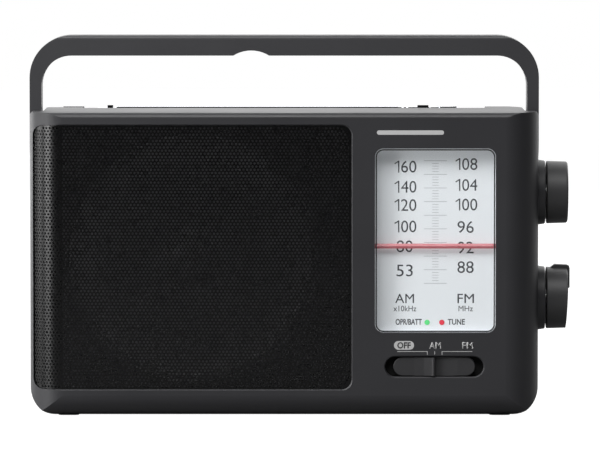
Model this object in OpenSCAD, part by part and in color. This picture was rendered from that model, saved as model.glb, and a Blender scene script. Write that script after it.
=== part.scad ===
// Portable two-band radio with a carrying handle, a telescopic antenna and a moving dial pointer.
// Millimetres. X runs to the right seen from the front, Y from the front face to the back, Z up.

/* [Case] */
// Width of the case across its sides
body_w = 198; // [196:0.2:202]
// Depth of the case from its front face to its back
body_d = 60; // [59:0.5:64]
// Height of the case without its feet
body_h = 117.8; // [116:0.2:122]
// Height of the rubber feet
foot_h = 0.4; // [0.4:0.1:3]
// Thickness of the case walls
wall = 2.6; // [2.2:0.1:3]
// Depth of the front shell, from the front face to the parting line
front_d = 34; // [33:0.5:36]
// Radius of the upright front edges
front_edge_r = 13; // [10:0.5:14]
// Radius of the two bottom corners seen from the front
corner_r = 11; // [6:0.5:12]

/* [Handle] */
// Width of the handle over its arms
handle_w = 199; // [198.8:0.1:204]
// Thickness of each handle arm
arm_t = 4.6; // [4.4:0.1:5.4]
// Depth of the handle, front to back
handle_d = 13; // [11:0.5:13]
// Height of the top of the handle over the table
handle_top = 147.5; // [147:0.5:152]
// Height of the grip bar
bar_t = 7.9; // [7:0.1:9]

/* [Dial] */
// Width of the dial window
window_w = 46.8; // [44:0.2:48]
// Height of the dial window
window_h = 71.5; // [68:0.5:72]
// Travel of the pointer over the scale
pointer_travel = 47.5; // [40:0.5:48]
// Radius at which the cord runs on the tuning spindle
spindle_cord_r = 2.5; // [2.3:0.1:2.8]

/* [Controls] */
// Radius of the tuning knob
tuning_r = 12.25; // [11:0.05:12.4]
// Radius of the volume knob
volume_r = 12.1; // [11:0.05:12.4]
// Length of the band switch cap
switch_w = 31.7; // [30:0.1:32]
// Travel of the band switch to each side
switch_travel = 2.9; // [2.5:0.1:3]

/* [Antenna] */
// Outer radius of the outermost antenna tube
tube_r = 3.1; // [2.9:0.05:3.2]
// Wall of each antenna tube
tube_wall = 0.32; // [0.28:0.01:0.34]
// Radial gap between neighbouring antenna tubes
tube_gap = 0.1; // [0.08:0.01:0.1]

/* [Speaker] */
// Radius of the speaker opening in the front shell
speaker_r = 47.7; // [46:0.1:48]

/* [Hidden] */
$fn = 64;

// Case outline
half_w = body_w / 2;
base_z = foot_h;
top_z = foot_h + body_h;
top_corner_r = 1.5;
top_edge_r = 2;
bottom_edge_r = 8;
back_top_r = 3;
back_bottom_r = 6;
back_edge_r = 14;
seam_w = 0.4;
seam_depth = 0.5;
sharp = 0.4;              // smallest radius kept on an inner corner

// Handle and the shoulders of the case beside it
pivot_y = 28;
pivot_z = 105.5;
arm_x = handle_w / 2 - arm_t;
shoulder_gap = 0.95;
shoulder_x = arm_x - shoulder_gap;
shoulder_y = pivot_y - handle_d / 2 - 1;
shoulder_z = pivot_z - handle_d / 2 - 0.9;
handle_outer_r = 16.5;
handle_inner_r = 11.7;
handle_edge_r = 1.5;
notch_x = -12.9;
notch_w = 14;
notch_h = 2;
pivot_pin_r = 2.5;
pivot_head_r = 4.2;
pivot_head_t = 1.6;

// Antenna channel along the top rear edge
channel_x = 79.5;
channel_y = 44;
channel_z = top_z - 6.7;
antenna_y = 54;
antenna_z = top_z - 2.4;
turret_x = 64.5;
turret_r = 4.2;
stem_r = 2.5;
tongue_t = 2.4;
tongue_r = 2.3;
collar_r = 2.9;
tube_start = 45;
tube_end = -66.3;
tip_end = -74.2;
tip_r = 2.4;
rest_left = [-70, -67.8];
rest_right = [52.6, 57];

// Grille and speaker
grille_left = -97.5;
grille_right = 26;
grille_low = 10.9;
grille_high = top_z - 5;
grille_r = 4;
grille_inset = 0.45;
grille_t = 0.7;
grille_bed = 1.3;         // depth of the bed that the grille lies in
speaker_x = -35.5;
speaker_z = 62;
flange_r = speaker_r + 2.6;

// Dial
window_x = 58.6;
window_z = 68.65;
window_r = 3.2;
lens_gap = 0.25;
edge_bevel = 0.4;         // bevel round the openings of the front face
tray_y = 5.6;
tray_t = 1.2;
tray_gap = 0.6;
pointer_z = 66.3;
pointer_y = 3.1;
pointer_h = 1.9;
pointer_t = 0.9;
led_z = 36.4;
led_green_x = 55.6;
led_red_x = 61.3;
led_r = 0.9;

// Cord drive: pulleys, drum and spindle turn about X in one plane
cord_x = 88.6;
cord_r = 0.35;
cord_gap = 0.3;
pulley_cord_r = 3.2;
drum_cord_r = pointer_travel / PI;
top_pulley = [9.5, 110];
bottom_pulley = [9.5, 30];
drum_centre = [38, 66];
knob_y = 25.5;
tuning_z = 86;
volume_z = 44.6;
spindle_centre = [knob_y, tuning_z];
bracket_x = [82.8, 84.4];
rod_x = 86.2;
rod_y = 7.4;
rod_r = 0.8;

// Knobs
collar_end = half_w + 3.05;
knob_start = collar_end + 0.55;
knob_end = half_w + 11.85;
knob_taper = 0.25;        // how much thinner a knob is at its outer end
bushing_r = 4.6;
shaft_r = 3;
shaft_gap = 0.08;

// Band switch
slot_x = 58.3;
slot_z = 19.6;
slot_w = 38.2;
slot_h = 7.9;
cap_h = 7.25;

// Battery bay
cell_r = 13.1;
cell_len = 50;
cell_first = -72;
cell_y = 44.6;
cell_z = 20.9;
bay_x = 80;
bay_z = [7.3, 34.6];
bay_y = 31.2;
bay_wall = 1.6;
door_t = 1.9;
door_hinge = [body_d - 0.1 - door_t / 2, bay_z[0] + 1.3];

// Sockets
inlet_x = 73;
inlet_z = 46;
inlet_pin_gap = 8.6;
jack_y = 24;
jack_z = 40;
jack_bore_r = 1.8;
jack_depth = 14;

// Screws and posts
low_posts = [[-86, 12], [86, 12]];
high_posts = [[-78, 103], [78, 103]];
post_r = 3.2;
screw_r = 1.5;
head_r = 2.9;

// Main board
board_x = [18, 80];
board_z = [38, 96];
board_y = 22;
board_t = 1.6;

// The frame's origin is under the middle of the whole object's box
volume_nose = 0.95;
ridge_out = 0.6;
origin_x = (knob_end + volume_nose - handle_w / 2) / 2;
origin_y = (body_d - ridge_out) / 2;

// ---------- helpers ----------

module front_extrude(y0, y1) {
    translate([0, y1, 0]) rotate([90, 0, 0]) linear_extrude(y1 - y0) children();
}

module side_extrude(x0, x1) {
    translate([x0, 0, 0]) rotate([90, 0, 90]) linear_extrude(x1 - x0) children();
}

module plan_extrude(z0, z1) {
    translate([0, 0, z0]) linear_extrude(z1 - z0) children();
}

module corner_cut(x, y, sx, sy, r) {
    difference() {
        translate([x - (sx > 0 ? 1 : r), y - (sy > 0 ? 1 : r)]) square(r + 1);
        translate([x + sx * r, y + sy * r]) circle(r);
    }
}

// Rectangle with its own radius at each corner: r = [low left, low right, high right, high left]
module rounded(x0, x1, y0, y1, r) {
    difference() {
        translate([x0, y0]) square([x1 - x0, y1 - y0]);
        if (r[0] > 0) corner_cut(x0, y0, 1, 1, r[0]);
        if (r[1] > 0) corner_cut(x1, y0, -1, 1, r[1]);
        if (r[2] > 0) corner_cut(x1, y1, -1, -1, r[2]);
        if (r[3] > 0) corner_cut(x0, y1, 1, -1, r[3]);
    }
}

module stadium(x, y, w, h) {
    translate([x, y]) {
        square([w - h, h], center = true);
        for (s = [-1, 1]) translate([s * (w - h) / 2, 0]) circle(h / 2);
    }
}

module along_x(x0, x1, y, z, r) {
    translate([x0, y, z]) rotate([0, 90, 0]) cylinder(h = x1 - x0, r = r);
}

module along_y(x, y0, y1, z, r) {
    translate([x, y0, z]) rotate([-90, 0, 0]) cylinder(h = y1 - y0, r = r);
}

module along_z(x, y, z0, z1, r) {
    translate([x, y, z0]) cylinder(h = z1 - z0, r = r);
}

module block(x, y, z) {
    translate([x[0], y[0], z[0]]) cube([x[1] - x[0], y[1] - y[0], z[1] - z[0]]);
}

// Turns a profile drawn as [radius, depth] about the line along Y through x, z
module turned_y(x, z) {
    translate([x, 0, z]) rotate([-90, 0, 0]) rotate_extrude() children();
}

// Turns a profile drawn as [radius, x] about the line along X through y, z
module turned_x(y, z) {
    translate([0, y, z]) rotate([0, 90, 0]) rotate_extrude() children();
}

module ring_profile(r0, r1, a0, a1) {
    translate([r0, a0]) square([r1 - r0, a1 - a0]);
}

module rod_between(a, b, r) {
    v = b - a;
    translate(a) rotate([0, acos(v[2] / norm(v)), atan2(v[1], v[0])]) cylinder(h = norm(v), r = r);
}

module wire(points, r) {
    for (i = [0 : len(points) - 2]) rod_between(points[i], points[i + 1], r, $fn = 8);
}

function inner_r(r, g) = max(r - g, sharp);

// ---------- case ----------

// The closed outer form of the case, drawn in by g
module envelope(g) {
    intersection() {
        front_extrude(-1, body_d + 1)
            rounded(-half_w + g, half_w - g, base_z + g, top_z - g,
                [inner_r(corner_r, g), inner_r(corner_r, g), inner_r(top_corner_r, g), inner_r(top_corner_r, g)]);
        side_extrude(-half_w - 1, half_w + 1)
            rounded(g, body_d - g, base_z + g, top_z - g,
                [inner_r(bottom_edge_r, g), inner_r(back_bottom_r, g), inner_r(back_top_r, g), inner_r(top_edge_r, g)]);
        plan_extrude(base_z - 1, top_z + 1)
            rounded(-half_w + g, half_w - g, g, body_d - g,
                [inner_r(front_edge_r, g), inner_r(front_edge_r, g), inner_r(back_edge_r, g), inner_r(back_edge_r, g)]);
    }
}

// What the shoulders beside the handle arms take away, grown by g
module shoulders(g) {
    plan_extrude(shoulder_z - g, top_z + 2) difference() {
        translate([-half_w - 2, shoulder_y - g]) square([body_w + 4, body_d]);
        rounded(-shoulder_x + g, shoulder_x - g, -5, body_d - g + 0.001,
            [0, 0, inner_r(back_edge_r, g), inner_r(back_edge_r, g)]);
    }
}

// What the antenna channel takes away, grown by g. Its left end runs out through the shoulder.
module channel(g) {
    block([-channel_x - g, channel_x + g], [channel_y - g, body_d + 2], [channel_z - g, top_z + 2]);
    block([-half_w, -channel_x + 1], [antenna_y - tube_r - 0.5 - g, antenna_y + tube_r + 0.5 + g],
        [channel_z + 0.5 - g, top_z + 2]);
}

module shell() {
    difference() {
        envelope(0);
        shoulders(0);
        channel(0);
        difference() {
            envelope(wall);
            shoulders(wall);
            channel(wall);
        }
    }
}

module grille_region(grow) {
    rounded(grille_left - grow, grille_right + grow, grille_low - grow, grille_high + grow,
        [grille_r, grille_r, grille_r, grille_r]);
}

module plan_form(g) {
    plan_extrude(base_z - 2, top_z + 2)
        rounded(-half_w + g, half_w - g, g, body_d, [front_edge_r - g, front_edge_r - g, 0, 0]);
}

// The fine groove round the parting line
module seam() {
    difference() {
        block([-150, 150], [front_d - seam_w, front_d + 1], [-5, 200]);
        difference() {
            envelope(seam_depth);
            shoulders(seam_depth);
            channel(seam_depth);
        }
    }
}

module knob_collar(z, r) {
    turned_x(knob_y, z) difference() {
        union() {
            polygon([[bushing_r - 0.5, half_w], [r + 0.5, half_w], [r + 0.15, collar_end - 0.35],
                [r - 0.2, collar_end], [bushing_r - 0.5, collar_end]]);
            ring_profile(bushing_r - 1, bushing_r, half_w - wall + 0.3, half_w + 1);
            ring_profile(0, bushing_r, half_w + 0.5, collar_end);
        }
        ring_profile(-1, shaft_r + shaft_gap, half_w - wall - 1, collar_end + 1);
    }
}

module knob_collars() {
    color("#3a3a3c") {
        knob_collar(tuning_z, tuning_r);
        knob_collar(volume_z, volume_r);
    }
}

// An opening through the front wall with a bevelled edge. Its two children are the outline grown by the bevel
// and the outline itself.
module front_opening(y) {
    front_extrude(-1, y) children(1);
    hull() {
        front_extrude(-0.02, 0) children(0);
        front_extrude(edge_bevel, edge_bevel + 0.01) children(1);
    }
}

module window_outline(g) {
    w = window_w / 2 + g;
    h = window_h / 2 + g;
    rounded(window_x - w, window_x + w, window_z - h, window_z + h,
        [window_r + g, window_r + g, window_r + g, window_r + g]);
}

module front_posts() {
    for (p = low_posts) along_y(p[0], wall - 0.5, front_d, p[1], post_r);
    for (p = high_posts) {
        along_y(p[0], 12, front_d, p[1], post_r);
        block([p[0] - 2, p[0] + 2], [12, front_d], [p[1], top_z - wall + 0.5]);
    }
    for (z = [42, 92]) along_y(22, wall - 0.5, board_y, z, 2.4);
}

module front_case() {
    color("#3a3a3c") difference() {
        union() {
            intersection() {
                shell();
                block([-150, 150], [-5, front_d], [-5, 200]);
            }
            front_posts();
            for (s = [-1, 1]) along_x(s > 0 ? shoulder_x - 8 : -shoulder_x + wall - 0.5,
                s > 0 ? shoulder_x - wall + 0.5 : -shoulder_x + 8, pivot_y, pivot_z, 5);
        }
        difference() {
            front_opening(front_edge_r) {
                grille_region(0.15 + edge_bevel);
                grille_region(0.15);
            }
            plan_form(grille_bed);
        }
        along_y(speaker_x, -1, wall + 1, speaker_z, speaker_r);
        translate([speaker_x, grille_bed - 0.01, speaker_z]) rotate([-90, 0, 0])
            cylinder(h = 1, r1 = speaker_r + 1, r2 = speaker_r);
        front_opening(wall + 1) {
            window_outline(edge_bevel / 2);
            window_outline(0);
        }
        front_opening(wall + 1) {
            stadium(slot_x, slot_z, slot_w + 2 * edge_bevel, slot_h + 2 * edge_bevel);
            stadium(slot_x, slot_z, slot_w, slot_h);
        }
        for (z = [tuning_z, volume_z]) along_x(half_w - wall - 1, half_w + 1, knob_y, z, bushing_r + 0.04);
        for (p = concat(low_posts, high_posts)) along_y(p[0], front_d - 12, front_d + 1, p[1], screw_r - 0.2);
        for (s = [-1, 1]) along_x(s > 0 ? shoulder_x - 7 : -shoulder_x - 1, s > 0 ? shoulder_x + 1 : -shoulder_x + 7,
            pivot_y, pivot_z, pivot_pin_r + 0.03);
        along_x(-half_w - 1, -half_w + wall + 1, jack_y, jack_z, 3.2);
        seam();
    }
}

module rear_case() {
    color("#37373a") difference() {
        union() {
            intersection() {
                shell();
                block([-150, 150], [front_d, 100], [-5, 200]);
            }
            block([-bay_x - bay_wall, bay_x + bay_wall], [front_d, body_d - wall + 0.5],
                [base_z + wall - 1, bay_z[1] + bay_wall]);
            block([-bay_x - bay_wall, bay_x + bay_wall], [bay_y - bay_wall, front_d + 1],
                [base_z + wall + 0.1, bay_z[1] + bay_wall]);
            for (p = concat(low_posts, high_posts)) along_y(p[0], front_d, body_d - wall + 0.5, p[1], 4.2);
            for (x = [27, 57]) along_y(x, 52.6, body_d - wall + 0.5, 47, 2.5);
        }
        block([-bay_x, bay_x], [bay_y, body_d + 1], bay_z);
        for (s = [-1, 1]) along_x(s > 0 ? bay_x - 1 : -bay_x - 1.4, s > 0 ? bay_x + 1.4 : -bay_x + 1,
            door_hinge[0], door_hinge[1], 0.95);
        for (p = concat(low_posts, high_posts)) {
            along_y(p[0], front_d - 1, body_d + 1, p[1], screw_r + 0.3);
            along_y(p[0], body_d - 12, body_d + 1, p[1], head_r + 0.3);
        }
        block([inlet_x - 11, inlet_x + 11], [body_d - wall - 1, body_d + 1], [inlet_z - 6.5, inlet_z + 6.5]);
        along_z(turret_x, antenna_y, channel_z - wall - 1, channel_z + 1, stem_r + 0.08);
    }
}

module case_screws() {
    color("#8b8b8e") for (p = concat(low_posts, high_posts)) difference() {
        union() {
            along_y(p[0], front_d - 10, body_d - 11.9, p[1], screw_r - 0.25);
            along_y(p[0], body_d - 12, body_d - 10, p[1], head_r);
        }
        for (a = [0, 90]) translate([p[0], body_d - 10, p[1]]) rotate([0, a, 0]) cube([3.4, 1.6, 0.7], center = true);
    }
}

module rubber_feet() {
    color("#161616") for (x = [-84, 84], y = [12, 50])
        plan_extrude(0, base_z) rounded(x - 4, x + 4, y - 4, y + 4, [2, 2, 2, 2]);
}

// ---------- grille and speaker ----------

module speaker_grille() {
    color("#0c0c0d") difference() {
        intersection() {
            front_extrude(-1, front_edge_r) grille_region(0);
            plan_form(grille_inset);
        }
        plan_form(grille_inset + grille_t);
    }
}

module speaker_gasket() {
    color("#202022") turned_y(speaker_x, speaker_z) ring_profile(speaker_r + 0.2, flange_r, wall + 0.1, wall + 1.6);
}

module speaker_frame() {
    color("#7d7f82") difference() {
        turned_y(speaker_x, speaker_z) polygon([[speaker_r - 1.5, 4.3], [flange_r, 4.3], [flange_r, 5.5],
            [speaker_r - 0.2, 5.5], [speaker_r - 0.2, 9.8], [26.5, 22.4], [13, 22.4], [13, 21.2], [25.8, 21.2],
            [speaker_r - 1.5, 9.4]]);
        for (a = [0 : 60 : 300]) translate([speaker_x, 0, speaker_z]) rotate([0, a, 0])
            block([26, 41], [6.5, 21], [-9, 9]);
        for (a = [45 : 90 : 315]) translate([speaker_x, 0, speaker_z]) rotate([0, a, 0])
            along_y(flange_r - 1.2, 4, 6, 0, 0.9);
    }
}

module speaker_screws() {
    color("#8b8b8e") for (a = [45 : 90 : 315]) translate([speaker_x, 0, speaker_z]) rotate([0, a, 0]) {
        along_y(flange_r - 1.2, 4.4, 5.6, 0, 0.85);
        along_y(flange_r - 1.2, 5.55, 6.6, 0, 1.25);
    }
}

module speaker_cone() {
    color("#2a2a2c") turned_y(speaker_x, speaker_z) union() {
        polygon([[39.9, 7.2], [39.9, 7.9], [12, 18.2], [10.7, 18.2], [10.7, 17.2]]);
        polygon([for (i = [0 : 8]) [11 * sin(i * 11.25), 17.4 - 4.6 * (cos(i * 11.25))],
            for (i = [8 : -1 : 0]) [11 * sin(i * 11.25) * 0.95, 17.9 - 4.6 * cos(i * 11.25)]]);
    }
}

module speaker_surround() {
    color("#1a1a1b") turned_y(speaker_x, speaker_z) difference() {
        translate([42.9, 7.9]) circle(2.95);
        translate([42.9, 7.9]) circle(2.45);
        translate([30, 7.9]) square([20, 5]);
    }
}

module voice_coil() {
    color("#b0662e") turned_y(speaker_x, speaker_z) ring_profile(10.1, 10.5, 18.3, 27.5);
}

module speaker_magnet() {
    color("#2c2c2e") turned_y(speaker_x, speaker_z) ring_profile(13, 25, 24.6, 32);
}

module speaker_yoke() {
    color("#a2a4a6") turned_y(speaker_x, speaker_z) union() {
        ring_profile(11, 24, 22.5, 24.5);
        ring_profile(0, 24, 32.1, 34.6);
        ring_profile(0, 9.6, 22.8, 32.2);
    }
}

// ---------- dial and cord drive ----------

module dial_lens() {
    color("#eef2f4", 0.35) front_extrude(0.15, 2.45) window_outline(-lens_gap);
}

module dial_plate() {
    tray_w = window_w / 2 + tray_gap;
    tray_h = window_h / 2 + tray_gap;
    color("#e6eaee") difference() {
        union() {
            block([window_x - tray_w - tray_t, window_x + tray_w + tray_t], [4.4, tray_y + tray_t],
                [window_z - tray_h - tray_t, window_z + tray_h + tray_t]);
            for (s = [-1, 1]) block([window_x - tray_w, window_x + tray_w], [2.7, tray_y],
                [window_z + s * tray_h - (s < 0 ? tray_t : 0), window_z + s * tray_h + (s < 0 ? 0 : tray_t)]);
            for (z = [44, 92]) along_y(74, tray_y, board_y, z, 2.4);
        }
        block([window_x - tray_w, window_x + tray_w], [2, tray_y], [window_z - tray_h, window_z + tray_h]);
        for (x = [led_green_x, led_red_x]) along_y(x, tray_y - 1, tray_y + tray_t + 1, led_z, led_r + 0.15);
    }
}

module led(x, y_tip) {
    along_y(x, y_tip, 10.2, led_z, led_r);
    along_y(x, 10, 13.5, led_z, 1.5);
    for (s = [-1, 1]) along_y(x + s * 0.7, 13.3, 15, led_z, 0.25);
}

module led_green() {
    color("#62d77a") led(led_green_x, tray_y - 0.2);
}

module led_red() {
    color("#e04a55") led(led_red_x, tray_y - 0.2);
}

module dial_pointer() {
    color("#d8454f") {
        side_extrude(window_x - window_w / 2 - 1.6, 86.8) translate([pointer_y, pointer_z])
            polygon([[0, 0], [0.45, -pointer_h / 2], [pointer_t, -pointer_h / 2],
                [pointer_t, pointer_h / 2], [0.45, pointer_h / 2]]);
        block([85.2, 86.8], [pointer_y + 0.3, pointer_y + 1.7], [pointer_z - 2, pointer_z + 2]);
    }
}

module pointer_carriage() {
    color("#e8e8e6") difference() {
        block([84.9, 90.2], [4.8, 9], [pointer_z - 4, pointer_z + 4]);
        along_z(rod_x, rod_y, pointer_z - 5, pointer_z + 5, rod_r + 0.06);
        along_z(cord_x, top_pulley[0] - pulley_cord_r, pointer_z - 5, pointer_z + 5, cord_r + 0.3);
    }
}

module guide_rod() {
    color("#b9bbbd") along_z(rod_x, rod_y, 36, 108.6, rod_r);
}

module tuning_bracket() {
    color("#9ea0a2") difference() {
        union() {
            block(bracket_x, [10, 54], [24, 112.5]);
            for (z = [[34.5, 36.5], [107.2, 109.2]]) {
                block([bracket_x[0], 87.2], [10, 12], z);
                block([84.9, 87.2], [5.8, 11], z);
            }
            for (c = [top_pulley, bottom_pulley]) along_x(bracket_x[1] - 0.5, cord_x + 2.4, c[0], c[1], 1);
        }
        along_x(bracket_x[0] - 1, bracket_x[1] + 1, spindle_centre[0], spindle_centre[1], 1.6);
        along_x(bracket_x[0] - 1, bracket_x[1] + 1, drum_centre[0], drum_centre[1], 3.5);
        along_z(rod_x, rod_y, 33, 110, rod_r + 0.02);
        block([80, 90], [30, 60], [84, 92]);
        block([80, 90], [26, 60], [92, 120]);
        block([80, 90], [28, 60], [20, 54]);
    }
}

// A grooved wheel whose cord runs at radius r: the groove is wider than the cord
module grooved_wheel(centre, r, bore, half_t) {
    groove = r - cord_r - cord_gap;
    turned_x(centre[0], centre[1]) difference() {
        ring_profile(bore, r + 1, cord_x - half_t, cord_x + half_t);
        polygon([[groove, cord_x - 0.7], [r + 2, cord_x - 1.2], [r + 2, cord_x + 1.2], [groove, cord_x + 0.7]]);
    }
}

module pulley_top() {
    color("#d9d7d0") grooved_wheel(top_pulley, pulley_cord_r, 1.05, 1.4);
}

module pulley_bottom() {
    color("#d9d7d0") grooved_wheel(bottom_pulley, pulley_cord_r, 1.05, 1.4);
}

module cord_drum() {
    color("#dddbd4") {
        difference() {
            grooved_wheel(drum_centre, drum_cord_r, 1.5, 1.7);
            translate([0, drum_centre[0], drum_centre[1]]) for (a = [0 : 120 : 240]) rotate([a, 0, 0])
                along_x(cord_x - 3, cord_x + 3, 8, 0, 4);
        }
        along_x(bracket_x[0] - 2, cord_x + 2.2, drum_centre[0], drum_centre[1], 3);
    }
}

module tuning_capacitor() {
    color("#c9d0d2") difference() {
        union() {
            block([bracket_x[0] - 14, bracket_x[0] - 0.1], [drum_centre[0] - 10, drum_centre[0] + 10],
                [drum_centre[1] - 10, drum_centre[1] + 10]);
            for (s = [-1, 1]) block([bracket_x[0] - 12, bracket_x[0] - 4],
                [drum_centre[0] + s * 5 - 0.5, drum_centre[0] + s * 5 + 0.5],
                [drum_centre[1] - 12, drum_centre[1] - 9]);
        }
        along_x(bracket_x[0] - 3, bracket_x[0] + 1, drum_centre[0], drum_centre[1], 3.2);
    }
}

module tuning_spindle() {
    color("#b9bbbd") turned_x(knob_y, tuning_z) difference() {
        union() {
            ring_profile(0, 1.5, bracket_x[0] - 0.5, bracket_x[1] + 0.5);
            ring_profile(0, shaft_r, bracket_x[1] + 0.4, knob_start + 5);
        }
        polygon([[spindle_cord_r - cord_r - cord_gap, cord_x - 1.6], [6, cord_x - 2.6],
            [6, cord_x + 2.6], [spindle_cord_r - cord_r - cord_gap, cord_x + 1.6]]);
    }
}

// Where a straight run leaves one wheel and meets the next. s is 1 where the cord goes round the
// wheel the way that turns Y towards Z, and -1 the other way. Gives [start, end, heading].
function run(c1, r1, s1, c2, r2, s2) =
    let (d = c2 - c1, k = s2 * r2 - s1 * r1, a = atan2(d[1], d[0]) - atan2(k, sqrt(d * d - k * k)),
        m = [sin(a), -cos(a)])
    [c1 + s1 * r1 * m, c2 + s2 * r2 * m, a];

function turn(from, to, s) = let (t = (to - from) * s) (t - floor(t / 360) * 360) * s;

// One ring of the cord's surface where it passes round a wheel with the given heading
cord_sides = 8;
cord_steps = 12;
function cord_ring(c, r, s, a) =
    let (p = c + s * r * [sin(a), -cos(a)])
    [for (j = [0 : cord_sides - 1]) let (b = 360 * j / cord_sides)
        [cord_x + cord_r * sin(b), p[0] + cord_r * cos(b) * sin(a), p[1] - cord_r * cos(b) * cos(a)]];

module dial_cord() {
    wheels = [[bottom_pulley, pulley_cord_r, -1], [top_pulley, pulley_cord_r, -1],
        [spindle_centre, spindle_cord_r, 1], [drum_centre, drum_cord_r, -1]];
    n = len(wheels);
    runs = [for (i = [0 : n - 1]) let (a = wheels[i], b = wheels[(i + 1) % n])
        run(a[0], a[1], a[2], b[0], b[1], b[2])];
    rings = [for (i = [0 : n - 1])
        let (w = wheels[i], from = runs[(i + n - 1) % n][2], sweep = turn(from, runs[i][2], w[2]))
        for (k = [0 : cord_steps]) cord_ring(w[0], w[1], w[2], from + sweep * k / cord_steps)];
    m = len(rings);
    q = cord_sides;
    color("#c8c4b6") {
        polyhedron(
            points = [for (r = rings) each r],
            faces = concat(
                [for (i = [0 : m - 1], j = [0 : q - 1])
                    [i * q + j, i * q + (j + 1) % q, ((i + 1) % m) * q + (j + 1) % q]],
                [for (i = [0 : m - 1], j = [0 : q - 1])
                    [i * q + j, ((i + 1) % m) * q + (j + 1) % q, ((i + 1) % m) * q + j]]));
        for (s = [-1, 1]) translate([cord_x + s * 1.0, spindle_centre[0], spindle_centre[1]]) rotate([90, 0, 90])
            rotate_extrude() translate([spindle_cord_r, 0]) circle(cord_r);
    }
}

// ---------- knobs and band switch ----------

// Half of a knob's section as [radius, x], thinner towards its outer end
module knob_profile(r, edge) {
    intersection() {
        rounded(shaft_r + 0.02, r, knob_start, knob_end, [0, 0.4, edge, 0]);
        offset(edge) offset(-edge) polygon([[-2, knob_start - 2], [r + knob_taper / 4, knob_start - 2],
            [r - knob_taper, knob_end], [-2, knob_end]]);
    }
}

module tuning_knob() {
    color("#3b3b3d") turned_x(knob_y, tuning_z) difference() {
        knob_profile(tuning_r, 0.9);
        translate([0, knob_end - 0.5]) square([tuning_r - 2, 1]);
    }
    color("#3b3b3d") along_x(knob_start + 5.2, knob_end - 0.8, knob_y, tuning_z, shaft_r + 1);
}

module volume_knob() {
    lug_low = volume_z + 3.4;
    lug_high = volume_z + volume_r;
    lug_end = knob_end + volume_nose;
    color("#3b3b3d") difference() {
        union() {
            turned_x(knob_y, volume_z) knob_profile(volume_r, 0.6);
            along_x(knob_start + 5.2, knob_end - 0.9, knob_y, volume_z, shaft_r + 1);
            front_extrude(knob_y - 2, knob_y + 2) polygon([[knob_start + 1.6, lug_low], [knob_start + 1.6, lug_high - 0.2],
                [knob_start + 3.3, lug_high + 1.05], [knob_end - 0.2, lug_high + 0.85], [lug_end - 0.3, lug_high + 0.5],
                [lug_end, lug_high - 0.5], [lug_end, lug_low + 0.7], [knob_end - 0.5, lug_low]]);
        }
        // the face below the lug leans inwards
        difference() {
            translate([knob_end, knob_y - 20, lug_low]) rotate([0, 2.6, 0]) translate([0, 0, -30]) cube([10, 40, 30]);
            block([knob_start, lug_end + 1], [knob_y - 2, knob_y + 2], [lug_low, lug_low + 1]);
        }
    }
}

module volume_shaft() {
    color("#b9bbbd") along_x(half_w - wall - 4.6, knob_start + 5, knob_y, volume_z, shaft_r);
}

module volume_control() {
    pot_back = half_w - wall - 0.8;
    color("#6e7276") difference() {
        union() {
            along_x(pot_back - 5, pot_back, knob_y, volume_z, 7.5);
            block([pot_back - 4, pot_back - 1.5], [knob_y - 5, knob_y + 5], [volume_z - 11, volume_z]);
        }
        along_x(pot_back - 4.2, pot_back + 1, knob_y, volume_z, shaft_r + 0.3);
    }
}

module band_switch_cap() {
    color("#38383a") {
        difference() {
            hull() {
                front_extrude(0.9, 0.91) stadium(slot_x, slot_z, switch_w - 0.5, cap_h - 0.5);
                front_extrude(1.15, 3.3) stadium(slot_x, slot_z, switch_w, cap_h);
            }
            plan_extrude(slot_z - cap_h, slot_z + cap_h)
                polygon([[slot_x, 0], [slot_x, 1.7], [slot_x + 9, 0.9], [slot_x + 9, 0]]);
        }
        // the thumb ridge rises from the left and drops off steeply on its right
        plan_extrude(slot_z - cap_h / 2 + 0.1, slot_z + cap_h / 2 - 0.1)
            polygon([[slot_x - 8, 1.2], [slot_x - 8, 0.9], [slot_x - 4, 0.62], [slot_x - 1, -0.1],
                [slot_x - 0.5, -ridge_out], [slot_x, -ridge_out], [slot_x + 0.4, 2]]);
        front_extrude(3.2, 4.4) rounded(slot_x - 21.5, slot_x + 21.5, slot_z - 5.6, slot_z + 5.6, [1, 1, 1, 1]);
        block([slot_x - 2.5, slot_x + 2.5], [4.3, 8], [slot_z - 2, slot_z + 2]);
    }
}

module band_switch() {
    color("#c4c6c8") difference() {
        block([slot_x - 11, slot_x + 11], [7, 15], [slot_z - 5, slot_z + 5]);
        block([slot_x - 7, slot_x + 7], [6, 10], [slot_z - 2.4, slot_z + 2.4]);
    }
}

// ---------- boards ----------

module switch_board() {
    color("#2f6b46") block([38, 80], [15.05, 16.6], [11, 40.5]);
}

module main_board() {
    color("#2f6b46") block(board_x, [board_y + 0.05, board_y + board_t], board_z);
}

module board_components() {
    back = board_y + board_t + 0.05;
    color("#b8babc") {
        for (x = [24, 34, 44]) block([x, x + 7], [back, back + 9], [85, 92]);
        block([54, 66], [back, back + 3], [84, 92]);
        for (z = [42, 52, 62]) along_y(23, back, back + 8, z, 3);
        for (x = [30, 40, 50]) along_y(x, back, back + 5.5, 42, 2.2);
        for (i = [0 : 5]) along_x(32 + i * 4, 34.4 + i * 4, back + 1, 56 + (i % 2) * 6, 0.9);
        block([62, 78], [back, back + 2.6], [41, 52]);
    }
}

module ferrite_rod() {
    color("#4b4542") along_x(-62, 44, 37, 103, 4.8);
}

module ferrite_coil() {
    color("#b0662e") turned_x(37, 103) ring_profile(4.85, 6.4, 8, 26);
}

module ferrite_holders() {
    color("#e2e0da") for (x = [-54, 36]) difference() {
        block([x - 2.5, x + 2.5], [31, 43.4], [96.5, channel_z - wall - 0.02]);
        along_x(x - 3, x + 3, 37, 103, 4.83);
    }
}

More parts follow.
